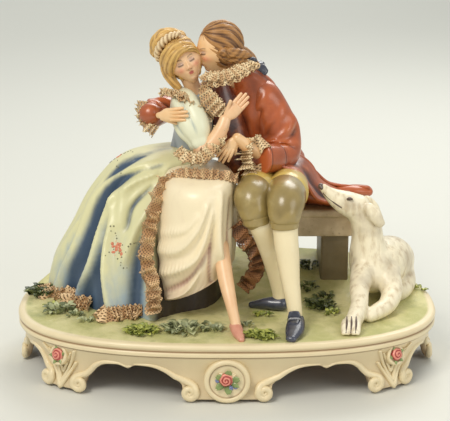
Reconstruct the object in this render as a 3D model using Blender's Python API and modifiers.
"""Porcelain group of a courting couple on a bench with a dog, on an oval scroll-footed plinth.

Metres, +Z up. The origin is on the floor under the middle of the plinth, the couple face -Y, and the
dog lies at +X.
"""

import math

import bmesh
import bpy
import numpy as np
from mathutils import Matrix, Vector

# Plinth
PLINTH_LENGTH = 0.420
PLINTH_DEPTH = 0.250
PLINTH_HEIGHT = 0.059
PLINTH_SQUARENESS = 2.5
PLINTH_WALL = 0.006
LIP_ROUNDING = 0.0045
GROOVE_DEPTH = 0.0013
BAND_HEIGHT = 0.0062
SKIRT_SWEEP = 0.007
RAIL_WIDTH = 0.0055
RAIL_RELIEF = 0.0018
ARCH_CROWN = 0.0345
ARCH_SPRING = 0.014
PENDANT_DROP = 0.0045
FOOT_CLEARANCE = 0.0035

# Turns on the plan in one quarter, in degrees from the end (0) to the middle of the front (90)
END_FOOT = (0, 5)
CORNER_FOOT = (35, 52)
FRONT_FOOT = (82.5, 90)
PLAN_TURNS = (
    0, 4, 6.5, 11, 17, 23.5, 29.5, 34, 37, 43, 49.5, 52.5, 57, 63, 69, 75, 79.5, 82, 84.5, 90
)

# Scrolls, medallions and corner bosses of the plinth
SCROLL_RADIUS = 0.0103
SCROLL_THICKNESS = 0.012
SCROLL_INSET = 0.0012
SCROLL_FLAT = 0.0007
SCROLL_TURNS = (3.3, 35.6, 51.0, 83.6)
MEDALLION_RADIUS = 0.0218
MEDALLION_THICKNESS = 0.010
MEDALLION_CLEARANCE = 0.0012
MEDALLION_INSET = 0.0006
BOSS_TURN = 43
BOSS_HEIGHT = 0.0365
BOSS_RADIUS = 0.0100
BOSS_INSET = 0.0010

# Ground on the plinth
BANK_RISE = 0.020
GROUND_INSETS = (0.090, 0.054, 0.026, 0.0085)
GROUND_MARGIN = 0.10
SEAM = 0.0004

# Bench
BENCH_LENGTH = 0.250
BENCH_DEPTH = 0.084
BENCH_TOP = 0.146
BENCH_SLAB = 0.029
BENCH_RIM = 0.009
BENCH_RIM_OVERHANG = 0.0025
BENCH_LEG_WIDTH = 0.029
BENCH_LEG_INSET = 0.009
BENCH_MIDDLE = (0.010, 0.070)

# Figures: their own heights, from the lip of the plinth
COUPLE_HEIGHT = 0.280
DOG_HEIGHT = 0.125
FIGURE_VOXEL = 0.0015
COUPLE_TRIANGLES = 3000
DOG_TRIANGLES = 800
LEAF_TRIANGLES = 90

# Clumps of leaves on the ground: shares of the plinth's half length and half depth, and of the radius
CLUMP_RADIUS = 0.014
CLUMP_CLEARANCE = 0.0012
CLUMP_VOXEL = 0.001
LEAF_CLUMPS = {
    "leaf_clump_left": (-0.905, 0.080, 0.86),
    "ivy_clump_left": (-0.785, -0.270, 0.93),
    "moss_clump_front": (-0.390, -0.720, 1.05),
    "ivy_clump_front": (-0.190, -0.690, 1.35),
    "moss_clump_middle": (0.150, -0.820, 0.93),
    "moss_clump_right": (0.438, -0.160, 1.00),
}

GLAZES = {
    "cream": ((0.80, 0.70, 0.54), 0.35),
    "stone": ((0.45, 0.38, 0.30), 0.55),
    "painted": ((0.56, 0.53, 0.50), 0.40),
    "coat": ((0.52, 0.46, 0.38), 0.50),
    "leaf": ((0.32, 0.36, 0.14), 0.50),
}


def clear_scene():
    for thing in list(bpy.data.objects):
        bpy.data.objects.remove(thing)


def new_collection(name):
    made = bpy.data.collections.new(name)
    bpy.context.scene.collection.children.link(made)
    return made


def glaze(name):
    """A glossy ceramic finish, made once for each name."""
    if name in bpy.data.materials:
        return bpy.data.materials[name]
    colour, roughness = GLAZES[name]
    material = bpy.data.materials.new(name)
    material.use_nodes = True
    shader = material.node_tree.nodes["Principled BSDF"]
    shader.inputs["Base Color"].default_value = (*colour, 1)
    shader.inputs["Roughness"].default_value = roughness
    shader.inputs["Metallic"].default_value = 0
    return material


def new_object(name, mesh, collection, finish=None):
    made = bpy.data.objects.new(name, mesh)
    collection.objects.link(made)
    if finish:
        mesh.materials.clear()
        mesh.materials.append(glaze(finish))
    return made


def hide(thing):
    """Marks a helper, which the finished model leaves out."""
    thing.hide_render = True
    thing.display_type = "WIRE"
    return thing


def modify(thing, kind, **settings):
    modifier = thing.modifiers.new(kind.title(), kind)
    for name, value in settings.items():
        setattr(modifier, name, value)
    return modifier


def apply_modifiers(thing):
    graph = bpy.context.evaluated_depsgraph_get()
    graph.update()
    mesh = bpy.data.meshes.new_from_object(thing.evaluated_get(graph))
    thing.modifiers.clear()
    thing.data = mesh
    return thing


def keep_largest_body(thing):
    """Drops crumbs that a cut leaves loose, and keeps the biggest connected body."""
    work = bmesh.new()
    work.from_mesh(thing.data)
    left, bodies = set(work.verts), []
    while left:
        body, edge = set(), [next(iter(left))]
        while edge:
            point = edge.pop()
            if point in body:
                continue
            body.add(point)
            edge.extend(e.other_vert(point) for e in point.link_edges)
        bodies.append(body)
        left -= body
    bodies.sort(key=len)
    crumbs = [point for body in bodies[:-1] for point in body]
    bmesh.ops.delete(work, geom=crumbs, context="VERTS")
    work.to_mesh(thing.data)
    work.free()
    return thing


# Surfaces


def grid_mesh(name, rings, first_pole=None, last_pole=None):
    """A closed mesh from rings of equal length, with a pole or an n-sided cap at each end."""
    rings = [np.asarray(ring, float) for ring in rings]
    around = len(rings[0])
    points = [tuple(point) for ring in rings for point in ring]
    faces = []
    for row in range(len(rings) - 1):
        for column in range(around):
            after = (column + 1) % around
            low, high = row * around, (row + 1) * around
            faces.append((low + column, low + after, high + after))
            faces.append((low + column, high + after, high + column))
    first = list(range(around))[::-1]
    last = [(len(rings) - 1) * around + column for column in range(around)]
    for loop, pole in ((first, first_pole), (last, last_pole)):
        if pole is None:
            faces.append(tuple(loop))
            continue
        points.append(tuple(pole))
        tip = len(points) - 1
        faces += [(loop[i], loop[(i + 1) % around], tip) for i in range(around)]
    mesh = bpy.data.meshes.new(name)
    mesh.from_pydata(points, [], faces)
    work = bmesh.new()
    work.from_mesh(mesh)
    bmesh.ops.recalc_face_normals(work, faces=work.faces)
    work.to_mesh(mesh)
    work.free()
    return mesh


def smooth_path(points, steps):
    """Points along a Catmull-Rom curve through the given points, which may hold any numbers."""
    knots = np.asarray(points, float)
    padded = np.vstack([2 * knots[0] - knots[1], knots, 2 * knots[-1] - knots[-2]])
    made = []
    for index in range(len(knots) - 1):
        a, b, c, d = padded[index : index + 4]
        for share in np.arange(steps) / steps:
            made.append(
                0.5
                * (
                    2 * b
                    + (c - a) * share
                    + (2 * a - 5 * b + 4 * c - d) * share**2
                    + (3 * b - a - 3 * c + d) * share**3
                )
            )
    made.append(knots[-1])
    return np.array(made)


def limb_rings(stations, around, steps, side):
    """Oval sections along a smooth curve. A station is x, y, z, half width along side, half depth."""
    path = smooth_path(stations, steps)
    middle, widths = path[:, :3], np.maximum(path[:, 3:5], 1e-4)
    ahead = np.gradient(middle, axis=0)
    ahead /= np.linalg.norm(ahead, axis=1)[:, None]
    caps = np.radians([75, 50, 25])
    first, last = ahead[0] * widths[0].min(), ahead[-1] * widths[-1].min()
    rows = [(middle[0] - first * math.sin(a), widths[0] * math.cos(a), ahead[0]) for a in caps]
    rows += list(zip(middle, widths, ahead))
    rows += [(middle[-1] + last * math.sin(a), widths[-1] * math.cos(a), ahead[-1]) for a in caps[::-1]]
    turns = np.linspace(0, 2 * math.pi, around, endpoint=False)
    rings = []
    for point, (width, depth), heading in rows:
        across = np.asarray(side, float) - heading * np.dot(side, heading)
        across /= np.linalg.norm(across)
        other = np.cross(heading, across)
        rings.append(
            point
            + np.outer(np.cos(turns), across) * width
            + np.outer(np.sin(turns), other) * depth
        )
    return rings, (middle[0] - first, middle[-1] + last)


class Figure:
    """Forms in a figure's own units, which are fused into one body.

    A unit is a share of the figure's height, and heights are measured from the lip of the plinth.
    """

    def __init__(self, name, height, units):
        self.name = name
        self.unit = height / units
        self.meshes = []

    def place(self, points):
        return np.asarray(points, float)[:, :3] * self.unit + (0, 0, PLINTH_HEIGHT)

    def add_rings(self, rings, poles):
        rings = [self.place(ring) for ring in rings]
        first, last = self.place(poles)
        self.meshes.append(grid_mesh(self.name, rings, first, last))

    def limb(self, *stations, around=12, steps=4, side=(1, 0, 0)):
        full = [(*s[:4], s[4] if len(s) > 4 else s[3]) for s in stations]
        self.add_rings(*limb_rings(full, around, steps, side))

    def ball(self, centre, radii, turn=(0, 0, 0)):
        work = bmesh.new()
        bmesh.ops.create_uvsphere(work, u_segments=16, v_segments=10, radius=1)
        size = Matrix.Diagonal((*radii, 1))
        tilt = Matrix.Rotation(math.radians(turn[2]), 4, "Z")
        tilt @= Matrix.Rotation(math.radians(turn[1]), 4, "Y")
        tilt @= Matrix.Rotation(math.radians(turn[0]), 4, "X")
        move = Matrix.Translation(Vector(centre))
        bmesh.ops.transform(work, verts=work.verts, matrix=move @ tilt @ size)
        lift = Matrix.Translation((0, 0, PLINTH_HEIGHT)) @ Matrix.Scale(self.unit, 4)
        bmesh.ops.transform(work, verts=work.verts, matrix=lift)
        mesh = bpy.data.meshes.new(self.name)
        work.to_mesh(mesh)
        work.free()
        self.meshes.append(mesh)

    def fused(self, triangles, collection, finish, cutters):
        """All the forms as one skin, with few faces, cut clear of what the figure rests on."""
        work = bmesh.new()
        for mesh in self.meshes:
            work.from_mesh(mesh)
        joined = bpy.data.meshes.new(self.name)
        work.to_mesh(joined)
        work.free()
        thing = new_object(self.name, joined, collection, finish)
        modify(thing, "REMESH", mode="VOXEL", voxel_size=FIGURE_VOXEL)
        modify(thing, "SMOOTH", factor=0.5, iterations=1)
        apply_modifiers(thing)
        keep_largest_body(thing)
        thing.data.calc_loop_triangles()
        modify(thing, "DECIMATE", ratio=triangles / len(thing.data.loop_triangles))
        apply_modifiers(thing)
        for cutter in cutters:
            modify(thing, "BOOLEAN", object=cutter, operation="DIFFERENCE", solver="EXACT")
        apply_modifiers(thing)
        keep_largest_body(thing)
        thing.data.shade_smooth()
        return thing


# Plinth


def plan_point(turn, inset):
    """A point on the oval plan, inset from its edge. The plan is a superellipse."""
    half_x, half_y = PLINTH_LENGTH / 2 - inset, PLINTH_DEPTH / 2 - inset
    c, s = math.cos(turn), math.sin(turn)
    power = 2 / PLINTH_SQUARENESS
    return (
        half_x * math.copysign(abs(c) ** power, c),
        half_y * math.copysign(abs(s) ** power, s),
    )


def mirrored_turns(quarter):
    """Turns on the whole plan, in radians, from those of one quarter."""
    turns = set()
    for turn in quarter:
        turns |= {turn % 360, (180 - turn) % 360, (180 + turn) % 360, (-turn) % 360}
    return [math.radians(turn) for turn in sorted(turns)]


def ground_height(x, y):
    """Height of the ground: level in front, and a bank that rises to the back inside the lip."""
    rise = min(max((y + 0.02) / (PLINTH_DEPTH / 2), 0), 1)
    rise = rise * rise * (3 - 2 * rise)
    across = abs(2 * x / PLINTH_LENGTH) ** PLINTH_SQUARENESS
    along = abs(2 * y / PLINTH_DEPTH) ** PLINTH_SQUARENESS
    inside = min(max((1 - across - along) / 0.18, 0), 1)
    inside = inside * inside * (3 - 2 * inside)
    return PLINTH_HEIGHT + BANK_RISE * rise * inside


def ground_rings(lift):
    """The ground as rings round the plan and its middle point, raised by a height."""
    rings = []
    for inset in GROUND_INSETS:
        flat = [plan_point(turn, inset) for turn in mirrored_turns(PLAN_TURNS)]
        rings.append([(x, y, ground_height(x, y) + lift) for x, y in flat])
    return rings, (0, 0, ground_height(0, 0) + lift)


def edge_height(turn):
    """Height of the skirt's lower edge: near the floor at a foot, and an arch with a small point in
    its middle from one foot to the next."""
    quarter = math.degrees(math.acos(min(abs(math.cos(turn)), 1)))
    feet = (END_FOOT, CORNER_FOOT, FRONT_FOOT)
    if any(low <= quarter <= high for low, high in feet):
        return FOOT_CLEARANCE
    for (_, start), (end, _) in zip(feet, feet[1:]):
        if start < quarter < end:
            share = 1 - abs(2 * (quarter - start) / (end - start) - 1)
            arch = math.sin(min(share / 0.62, 1) * math.pi / 2) ** 0.8
            point = max(0, share - 0.82) / 0.18
            return ARCH_SPRING + (ARCH_CROWN - ARCH_SPRING) * arch - PENDANT_DROP * point
    return FOOT_CLEARANCE


def skirt_inset(height):
    """How far the concave skirt lies inside the plan at a height."""
    top = PLINTH_HEIGHT - LIP_ROUNDING - BAND_HEIGHT
    return 0.0015 + SKIRT_SWEEP * math.sin(min(max(height / top, 0), 1) * math.pi)


def plinth_body(collection):
    """The hollow plinth: a lofted skin from the ground over the lip and down, and back up inside."""
    turns = mirrored_turns(PLAN_TURNS)
    groove = PLINTH_HEIGHT - LIP_ROUNDING - 0.0015
    band = groove - BAND_HEIGHT
    ceiling = PLINTH_HEIGHT - PLINTH_WALL

    def level(inset, height):
        return [(*plan_point(turn, inset), height) for turn in turns]

    def above_edge(lift, relief):
        """A ring that follows the lower edge at a height over it."""
        made = []
        for turn in turns:
            height = edge_height(turn) + lift
            made.append((*plan_point(turn, skirt_inset(height) - relief), height))
        return made

    ground, middle_point = ground_rings(0)
    rings = [
        *ground,
        level(0.0035, PLINTH_HEIGHT),
        level(0.0, PLINTH_HEIGHT - LIP_ROUNDING),
        level(GROOVE_DEPTH, groove),
        level(0.0004, band + 0.001),
        level(skirt_inset(band - 0.004), band - 0.004),
        above_edge(RAIL_WIDTH, 0),
        above_edge(RAIL_WIDTH * 0.75, RAIL_RELIEF),
        above_edge(0, RAIL_RELIEF),
        above_edge(0, -PLINTH_WALL),
        level(0.004 + PLINTH_WALL, band - 0.004),
        level(0.013 + PLINTH_WALL, ceiling),
    ]
    mesh = grid_mesh("plinth", rings, middle_point, (0, 0, ceiling))
    return new_object("plinth", mesh, collection, "cream")


def outward(turn):
    """The plan's outward direction at a turn."""
    ahead = Vector(plan_point(turn + 0.02, 0.004)) - Vector(plan_point(turn - 0.02, 0.004))
    return Vector((ahead.y, -ahead.x)).normalized()


def disc(name, turn, height, radius, thickness, inset, sides, helpers, lean=0.0):
    """A round boss with its face at an inset from the plan, which leans back by a slope."""
    face = Vector((*plan_point(turn, inset), height))
    facing = Vector((*outward(turn), lean)).normalized()
    work = bmesh.new()
    bmesh.ops.create_cone(
        work, cap_ends=True, segments=sides, radius1=radius, radius2=radius * 0.92, depth=thickness
    )
    mesh = bpy.data.meshes.new(name)
    work.to_mesh(mesh)
    work.free()
    thing = new_object(name, mesh, helpers)
    thing.rotation_mode = "QUATERNION"
    thing.rotation_quaternion = facing.to_track_quat("Z", "Y")
    thing.location = face - facing * thickness / 2
    return hide(thing)


def plinth(collection, helpers):
    """The plinth with its scrolls, medallions and corner bosses, cut flat under the feet."""
    body = plinth_body(collection)
    bosses = []
    for turn in mirrored_turns(SCROLL_TURNS):
        height = SCROLL_RADIUS - SCROLL_FLAT
        size = (SCROLL_RADIUS, SCROLL_THICKNESS, SCROLL_INSET)
        bosses.append(disc("scroll", turn, height, *size, 10, helpers))
    for turn in mirrored_turns((90,)):
        height = MEDALLION_RADIUS + MEDALLION_CLEARANCE
        size = (MEDALLION_RADIUS, MEDALLION_THICKNESS, MEDALLION_INSET)
        bosses.append(disc("medallion", turn, height, *size, 20, helpers))
    for turn in mirrored_turns((BOSS_TURN,)):
        size = (BOSS_RADIUS, SCROLL_THICKNESS, BOSS_INSET)
        bosses.append(disc("boss", turn, BOSS_HEIGHT, *size, 10, helpers, lean=0.25))
    for boss in bosses:
        modify(body, "BOOLEAN", object=boss, operation="UNION", solver="EXACT")
    apply_modifiers(body)
    work = bmesh.new()
    work.from_mesh(body.data)
    everything = [*work.verts, *work.edges, *work.faces]
    cut = bmesh.ops.bisect_plane(
        work, geom=everything, plane_co=(0, 0, 0), plane_no=(0, 0, -1), clear_outer=True, dist=1e-7
    )
    rim = [edge for edge in cut["geom_cut"] if isinstance(edge, bmesh.types.BMEdge)]
    bmesh.ops.holes_fill(work, edges=rim, sides=0)
    work.to_mesh(body.data)
    work.free()
    keep_largest_body(body)
    body.data.set_sharp_from_angle(angle=math.radians(40))
    return body


def ground_cutter(helpers):
    """All that is below the ground, raised by the seam, so that what stands there follows it."""
    ground, middle_point = ground_rings(SEAM)
    outer = [plan_point(turn, -GROUND_MARGIN) for turn in mirrored_turns(PLAN_TURNS)]
    rings = [
        *ground,
        [(x, y, PLINTH_HEIGHT + SEAM) for x, y in outer],
        [(x, y, -PLINTH_HEIGHT) for x, y in outer],
    ]
    mesh = grid_mesh("ground_cutter", rings, middle_point, (0, 0, -PLINTH_HEIGHT))
    return hide(new_object("ground_cutter", mesh, helpers))


# Bench


def box(name, low, high, collection, finish=None):
    work = bmesh.new()
    bmesh.ops.create_cube(work, size=1)
    size = Vector(high) - Vector(low)
    bmesh.ops.scale(work, vec=size, verts=work.verts)
    bmesh.ops.translate(work, vec=(Vector(low) + Vector(high)) / 2, verts=work.verts)
    mesh = bpy.data.meshes.new(name)
    work.to_mesh(mesh)
    work.free()
    return new_object(name, mesh, collection, finish)


def bench_boxes(grow):
    """Low and high corners of the rim, the slab and the two legs, grown by a clearance."""
    x, y = BENCH_MIDDLE
    half = BENCH_LENGTH / 2
    deep = BENCH_DEPTH / 2
    over = BENCH_RIM_OVERHANG
    rim_bottom = BENCH_TOP - BENCH_RIM
    slab_bottom = BENCH_TOP - BENCH_SLAB
    corners = [
        ((x - half, y - deep, rim_bottom), (x + half, y + deep, BENCH_TOP)),
        ((x - half + over, y - deep + over, slab_bottom), (x + half - over, y + deep - over, rim_bottom)),
    ]
    leg_end = half - BENCH_LEG_INSET
    for start in (x - leg_end, x + leg_end - BENCH_LEG_WIDTH):
        corners.append(
            (
                (start, y - deep + BENCH_LEG_INSET, PLINTH_HEIGHT / 2),
                (start + BENCH_LEG_WIDTH, y + deep - BENCH_LEG_INSET, slab_bottom),
            )
        )
    reach = Vector((grow, grow, grow))
    return [(Vector(low) - reach, Vector(high) + reach) for low, high in corners]


def bench(collection, helpers, ground):
    overlap = 0.0002
    pieces = bench_boxes(overlap)
    seat = box("bench", *pieces[0], collection, "stone")
    for low, high in pieces[1:]:
        piece = hide(box("bench_piece", low, high, helpers))
        modify(seat, "BOOLEAN", object=piece, operation="UNION", solver="EXACT")
    modify(seat, "BOOLEAN", object=ground, operation="DIFFERENCE", solver="EXACT")
    return apply_modifiers(seat)


def bench_cutter(helpers):
    """The bench's own outline grown by the seam, which the couple's seat and hems are cut to."""
    pieces = bench_boxes(SEAM + 0.0002)
    whole = hide(box("bench_cutter", *pieces[0], helpers))
    for low, high in pieces[1:]:
        piece = hide(box("bench_cutter_piece", low, high, helpers))
        modify(whole, "BOOLEAN", object=piece, operation="UNION", solver="EXACT")
    return apply_modifiers(whole)


# Couple


def folds(turn, fall, ridges):
    """Height of a cloth's folds at a direction, in degrees. Each ridge is direction, width, height,
    and how far it drifts between the waist and the hem."""
    total = 0.0
    for direction, width, height, drift in ridges:
        away = (turn - direction - drift * (fall - 1) + 180) % 360 - 180
        total += height * math.exp(-((away / width) ** 2))
    return total * fall


def gown(levels, ridges, around, steps):
    """A skirt as ovals. A level is x, y, z of the middle, reach right, back, left, front, and the
    slope of its plane from left to right."""
    path = smooth_path(levels, steps)
    rings = []
    for index, (x, y, z, right, back, left, front, slope) in enumerate(path):
        fall = index / (len(path) - 1)
        ring = []
        for turn in np.linspace(0, 360, around, endpoint=False):
            c, s = math.cos(math.radians(turn)), math.sin(math.radians(turn))
            grow = 1 + folds(turn, fall, ridges)
            reach_x = (right if c > 0 else left) * c * grow
            reach_y = (back if s > 0 else front) * s * grow
            ring.append((x + reach_x, y + reach_y, z + slope * reach_x))
        rings.append(ring)
    poles = (path[0][:3] + (0, 0, 1), path[-1][:3] - (0, 0, 1))
    return rings, poles


def ruffle(figure, points, radius, waves):
    """A lace frill: a beaded rope that swells and narrows along a smooth line."""
    line = smooth_path(points, 6)
    count = len(line)
    stations = []
    for index, point in enumerate(line):
        swell = 1 + 0.35 * math.sin(2 * math.pi * waves * index / count)
        stations.append((*point, radius * swell, radius * 0.6 * swell))
    figure.limb(*stations, around=8, steps=1)


def lady(figure):
    overskirt(figure)
    underskirt(figure)
    lady_body(figure)
    lady_head(figure)
    lady_lace(figure)


def overskirt(figure):
    """The blue skirt, wide at the hip, that spreads to the left and to the ground."""
    levels = [
        (-40, 44, 152, 14, 13, 15, 13, 0),
        (-50, 46, 148, 28, 26, 38, 30, 0.02),
        (-62, 46, 141, 42, 38, 46, 44, 0.02),
        (-68, 44, 128, 46, 44, 54, 50, 0),
        (-73, 40, 104, 53, 52, 66, 60, 0),
        (-78, 37, 74, 62, 58, 75, 70, 0),
        (-82, 34, 38, 74, 64, 89, 80, 0),
        (-84, 33, 4, 82, 62, 93, 86, 0),
        (-84, 33, -6, 82, 62, 93, 86, 0),
    ]
    ridges = [
        (216, 24, -0.17, -4),
        (150, 8, 0.08, -6),
        (172, 7, 0.08, -12),
        (192, 6, 0.10, -16),
        (211, 6, 0.13, -20),
        (230, 7, 0.15, -22),
        (246, 5, 0.10, -20),
        (262, 8, 0.15, -14),
        (128, 8, 0.09, 0),
        (104, 8, 0.10, 6),
        (80, 8, 0.09, 10),
        (56, 8, 0.08, 12),
    ]
    figure.add_rings(*gown(levels, ridges, 110, 5))


def underskirt(figure):
    """The white skirt over the knees, with swags across it and its hem lifted to the right."""
    levels = [
        (-28, 14, 140, 22, 20, 24, 20, 0),
        (-26, -4, 136, 31, 28, 32, 40, 0),
        (-26, -10, 126, 34, 32, 36, 52, 0),
        (-27, -12, 98, 35, 34, 37, 53, 0),
        (-30, -12, 64, 35, 34, 36, 50, 0.2),
        (-33, -10, 36, 33, 34, 34, 46, 0.55),
        (-33, -10, 29, 32, 33, 33, 45, 0.60),
    ]
    ridges = [
        (222, 6, 0.10, -40),
        (240, 6, 0.12, -48),
        (258, 6, 0.12, -40),
        (276, 6, 0.10, -24),
        (300, 7, 0.14, -4),
        (334, 8, 0.08, 0),
        (0, 9, 0.08, 0),
    ]
    figure.add_rings(*gown(levels, ridges, 90, 5))


def lady_body(figure):
    """Bodice, neck, puffed sleeve, bent near arm with its open hand, far arm, bare leg and shoes."""
    figure.limb(
        (-40, 44, 140, 19, 15),
        (-38, 42, 152, 18, 15),
        (-35, 39, 166, 19, 16),
        (-33, 34, 180, 20, 17),
        (-33, 32, 195, 20, 14),
        (-33, 31, 206, 14, 10),
    )
    figure.limb((-32, 31, 202, 10), (-34, 28, 214, 8), (-39, 27, 228, 9))
    figure.limb((-46, 28, 205, 10), (-41, 14, 199, 16.5), (-35, 3, 188, 18), (-30, -5, 177, 16))
    figure.limb((-27, -10, 166, 9), (-22, -14, 160, 9), (-12, -13, 170, 8), (-2, -9, 190, 6))
    figure.limb((-2, -9, 190, 6, 4.5), (5, -6, 199, 8, 4), (13, -2, 208, 7, 3.4), (20, 0, 214, 4, 2.4))
    figure.limb((-22, 25, 196, 9), (-10, 10, 180, 9), (-4, -4, 166, 7), (2, -12, 160, 6))
    shin = [(-2, -62, 58, 9), (0, -70, 42, 7), (4, -80, 26, 5.8), (8, -89, 10, 5.2)]
    figure.limb(*shin, (9, -94, 4, 5.5, 4.5))
    figure.limb((8, -89, 6, 6), (11, -102, 3, 5.5, 4.5), (13.5, -112, 1, 3, 3))
    figure.limb((-52, 2, 14, 6), (-56, -8, 6, 6, 5), (-58, -24, 3, 5, 4))


def lady_head(figure):
    """Her head leans to her right, with the hair piled high and a knot behind."""
    figure.ball((-42, 25, 241), (15, 17, 21), (0, -31, 0))
    figure.ball((-47, 31, 249), (18, 19, 19), (0, -31, 0))
    figure.ball((-58, 37, 258), (15, 11, 14), (0, -30, 0))
    figure.limb((-35, 7, 239, 3), (-32, 3, 234, 3), (-31, 7, 232, 3))
    figure.ball((-31, 13, 227), (7, 7, 6))
    figure.limb((-58, 24, 243, 5.5), (-59, 22, 234, 6), (-55, 21, 224, 5), (-49, 21, 216, 4))


def lady_lace(figure):
    ruffle(figure, [(8, -28, 133), (-24, -36, 139), (-46, -28, 138), (-57, -28, 130)], 8, 6)
    edge = [(-60, -30, 124), (-66, -38, 104), (-71, -44, 82), (-74, -50, 60), (-67, -56, 42), (-68, -60, 10)]
    ruffle(figure, edge, 9, 8)
    ruffle(figure, [(-171, 20, 8), (-158, 2, 9), (-144, -10, 8), (-128, -26, 6)], 8, 4)
    ruffle(figure, [(-110, -46, 9), (-98, -52, 10), (-82, -58, 8)], 9, 4)
    ruffle(figure, [(12, -34, 92), (22, -30, 76), (34, -22, 58), (34, -14, 34), (22, -14, 16)], 8, 6)
    ruffle(figure, [(-58, 24, 212), (-48, 15, 215), (-36, 10, 212), (-24, 9, 203), (-16, 12, 192)], 6, 5)
    elbow = [(-44, -12, 164), (-36, -22, 160), (-24, -24, 162), (-14, -16, 174), (-11, -4, 184)]
    ruffle(figure, elbow, 7, 5)


def gentleman(figure):
    gentleman_body(figure)
    gentleman_head(figure)
    gentleman_legs(figure)
    coat_skirts(figure)
    ruffle(figure, [(18, 34, 234), (10, 22, 228), (0, 17, 222), (-8, 18, 216)], 7, 5)
    ruffle(figure, [(-6, 14, 214), (0, 10, 204), (4, 8, 194)], 9, 3)
    ruffle(figure, [(24, 2, 166), (18, -8, 158), (18, -10, 146), (26, -4, 136)], 9, 4)
    ruffle(figure, [(-76, 22, 200), (-79, 16, 188), (-72, 12, 178)], 8, 3)


def gentleman_body(figure):
    """Coat, neck, bent near arm with its cuff and hand, and the far arm round behind the lady."""
    figure.limb(
        (52, 64, 84, 30, 24),
        (50, 64, 104, 28, 24),
        (44, 58, 132, 26, 21),
        (38, 54, 162, 27, 21),
        (30, 51, 188, 27, 20),
        (26, 50, 204, 24, 17),
        (20, 49, 215, 18, 13),
        (12, 47, 222, 11, 10),
    )
    figure.limb((-2, 42, 210, 11), (0, 41, 188, 15), (6, 40, 160, 17), (14, 40, 132, 19))
    figure.limb((12, 46, 214, 12), (6, 46, 226, 10), (4, 46, 238, 9))
    sleeve = [(30, 50, 208, 12), (38, 50, 203, 14), (45, 49, 192, 15), (53, 46, 176, 15.5)]
    figure.limb(*sleeve, (60, 41, 157, 15), (58, 30, 145.5, 14.5), (47, 14, 146, 13.5))
    figure.limb((48, 14, 146, 14, 13.5), (38, 4, 147.5, 16, 15), (31, -2, 149, 15.5, 14))
    figure.limb((22, -6, 158, 7), (12, -12, 164, 7), (3, -14, 166, 9, 7), (-4, -16, 156, 8, 6))
    far_sleeve = [(16, 56, 206, 14), (-14, 64, 200, 14), (-44, 62, 193, 13.5), (-66, 46, 187, 13.5)]
    figure.limb(*far_sleeve, (-75, 28, 186, 13), (-76, 19, 189, 11.5))
    figure.limb((-70, 14, 189, 8), (-62, 4, 197, 9), (-54, -5, 200, 10, 6), (-42, -12, 199, 9, 4))


def gentleman_head(figure):
    """His head is in profile to the left, bent down to hers, with rolls at the ear and a tied queue."""
    figure.ball((4, 48, 254), (20, 19, 22.5), (0, -8, 0))
    figure.ball((-8, 45, 247), (14, 15, 21), (0, -10, 0))
    figure.ball((-13, 43, 233), (8, 9, 7.5))
    figure.limb((-20, 41, 253, 2.6), (-27, 39, 243, 3.2), (-22, 40, 240, 3))
    figure.limb((0, 29, 249, 4.6), (9, 29, 248, 5), (18, 34, 246, 4.5))
    figure.limb((16, 48, 244, 9), (22, 51, 236, 8.5), (28, 54, 228, 6.5), (34, 57, 218, 4.5))
    figure.ball((29, 53, 230), (8, 8, 6.5), (0, 35, 0))


def gentleman_legs(figure):
    """Thighs, calves and buckled shoes."""
    figure.limb((38, 44, 110, 19), (32, 8, 116, 19), (26, -24, 119, 18.5), (24, -38, 118, 17.5))
    figure.limb((62, 44, 110, 20), (60, 6, 116, 20), (57, -34, 119, 19.5), (56, -50, 118, 18.5))
    far_calf = [(24, -38, 117, 17), (28, -45, 103, 13), (33, -44, 92, 11.5), (39, -38, 74, 10.5)]
    figure.limb(*far_calf, (46, -31, 48, 9), (51, -27, 22, 7), (53, -27, 8, 6.5))
    near_calf = [(56, -50, 117, 18), (54.5, -57, 104, 13), (56, -59, 90, 12), (58.5, -64, 66, 11)]
    figure.limb(*near_calf, (61, -70, 44, 9), (64.5, -77, 22, 7.2), (65.5, -79, 8, 7))
    near_shoe = [(66, -74, 7, 7.5, 8), (66, -84, 7.2, 8.6, 7.6), (64, -98, 5, 9, 5.6)]
    figure.limb(*near_shoe, (60, -113, 2.6, 5, 3.2))
    far_shoe = [(54, -30, 7, 7.5, 7), (44, -27, 6.5, 8, 6.5), (34, -24, 4.5, 7, 5)]
    figure.limb(*far_shoe, (25, -22, 3, 4, 3.5))


def coat_skirts(figure):
    """The coat's skirts, which cover the seat and spread from the waist over the bench."""
    near = [(62, 36, 128, 20, 22), (72, 28, 112, 22, 16), (86, 28, 98, 24, 10), (104, 34, 93, 24, 7)]
    figure.limb(*near, (124, 42, 92, 18, 6), side=(0, 1, 0))
    far = [(60, 66, 124, 22, 22), (78, 66, 108, 24, 17), (98, 68, 98, 26, 11), (122, 68, 95, 24, 9)]
    figure.limb(*far, (142, 64, 95, 16, 7), side=(0, 1, 0))


def couple(collection, cutters):
    figure = Figure("couple", COUPLE_HEIGHT, 280)
    lady(figure)
    gentleman(figure)
    return figure.fused(COUPLE_TRIANGLES, collection, "painted", cutters)


# Dog


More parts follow.
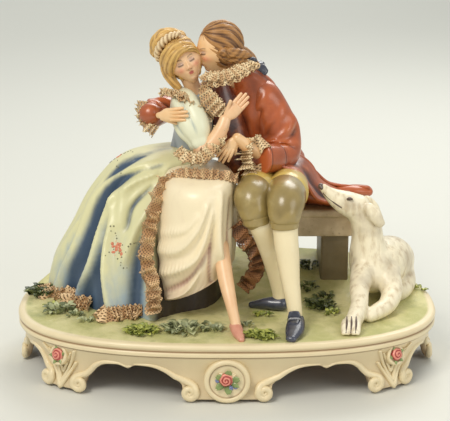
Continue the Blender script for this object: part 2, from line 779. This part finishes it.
def dog(collection, cutters):
    """The dog lies on its side with its forelegs crossed and its head raised to the coat."""
    figure = Figure("dog", DOG_HEIGHT, 125)
    muzzle = [(95.5, -4, 119.5, 4.2), (101, -4, 114.5, 6.2), (108, -3, 109, 9.2), (118, -2, 103.5, 12.2)]
    figure.limb(*muzzle, (130, 0, 98, 13.5))
    neck = [(130, 0, 97, 13), (138, 1, 85, 15), (141, 2, 68, 16), (143, 2, 48, 20), (146, 0, 30, 21, 23)]
    figure.limb(*neck)
    figure.limb((148, 2, 38, 22, 23), (156, 12, 36, 25, 25), (167, 28, 34, 25, 25), (174, 42, 30, 21, 22))
    foreleg = [(138, -10, 36, 14), (133, -26, 30, 11), (130, -42, 24, 9.5), (129, -56, 17, 8.5)]
    figure.limb(*foreleg, (124, -72, 9, 8.5), (119, -84, 7, 9.5, 7), (117, -92, 5, 8.5, 5.5))
    other = [(160, -6, 30, 15), (164, -24, 18, 11), (158, -42, 11, 9), (147, -54, 8, 8)]
    figure.limb(*other, (137, -62, 6.5, 8.5, 6.5), (130, -66, 5, 7.5, 5))
    figure.limb((178, 34, 18, 17), (181, 20, 12, 13), (175, 4, 8, 10), (164, -4, 6, 8))
    for side in (-1, 1):
        figure.limb((140, 13 * side, 101, 4, 6), (147, 15 * side, 93, 4, 7), (153, 14 * side, 84, 3.5, 5))
    return figure.fused(DOG_TRIANGLES, collection, "coat", cutters)


# Leaves


def grown(thing, clearance, helpers):
    """A figure's outline, grown by a clearance, which the leaves round it are cut to."""
    mesh = thing.data.copy()
    shell = hide(new_object(thing.name + "_clearance", mesh, helpers))
    modify(shell, "DISPLACE", strength=clearance, mid_level=0)
    modify(shell, "REMESH", mode="VOXEL", voxel_size=FIGURE_VOXEL)
    apply_modifiers(shell)
    return keep_largest_body(shell)


def leaf_clump(name, middle, radius, collection, cutters):
    """A low clump of broad leaves that overlap and spread from its middle, in three tiers."""
    work = bmesh.new()
    base = ground_height(*middle)
    for tier, (count, reach, lift) in enumerate(((7, 0.66, 0.16), (5, 0.40, 0.55), (1, 0.0, 0.80))):
        for index in range(count):
            turn = 2 * math.pi * (index + 0.37 * tier) / count
            leaf = bmesh.ops.create_uvsphere(work, u_segments=7, v_segments=4, radius=1)["verts"]
            size = Matrix.Diagonal((radius * 0.46, radius * 0.34, radius * 0.30, 1))
            tilt = Matrix.Rotation(0.5 if count > 1 else 0, 4, "Y")
            out = Matrix.Translation((radius * reach, 0, radius * lift))
            spin = Matrix.Rotation(turn, 4, "Z")
            place = Matrix.Translation((*middle, base))
            bmesh.ops.transform(work, verts=leaf, matrix=place @ spin @ out @ tilt @ size)
    bmesh.ops.create_cone(
        work,
        cap_ends=True,
        segments=10,
        radius1=radius * 0.8,
        radius2=radius * 0.3,
        depth=radius * 1.4,
        matrix=Matrix.Translation((*middle, base)),
    )
    mesh = bpy.data.meshes.new(name)
    work.to_mesh(mesh)
    work.free()
    thing = new_object(name, mesh, collection, "leaf")
    modify(thing, "REMESH", mode="VOXEL", voxel_size=CLUMP_VOXEL)
    apply_modifiers(thing)
    thing.data.calc_loop_triangles()
    modify(thing, "DECIMATE", ratio=LEAF_TRIANGLES / len(thing.data.loop_triangles))
    apply_modifiers(thing)
    for cutter in cutters:
        modify(thing, "BOOLEAN", object=cutter, operation="DIFFERENCE", solver="EXACT")
    apply_modifiers(thing)
    return keep_largest_body(thing)


def leaf_clumps(collection, cutters):
    for name, (along, across, size) in LEAF_CLUMPS.items():
        middle = (along * PLINTH_LENGTH / 2, across * PLINTH_DEPTH / 2)
        leaf_clump(name, middle, size * CLUMP_RADIUS, collection, cutters)


def main():
    clear_scene()
    parts = new_collection("courting_couple_group")
    helpers = new_collection("cutters")
    ground = ground_cutter(helpers)
    plinth(parts, helpers)
    bench(parts, helpers, ground)
    seat = bench_cutter(helpers)
    embrace = couple(parts, [ground, seat])
    hound = dog(parts, [ground])
    near = [grown(figure, CLUMP_CLEARANCE, helpers) for figure in (embrace, hound)]
    leaf_clumps(parts, [ground, *near])


main()
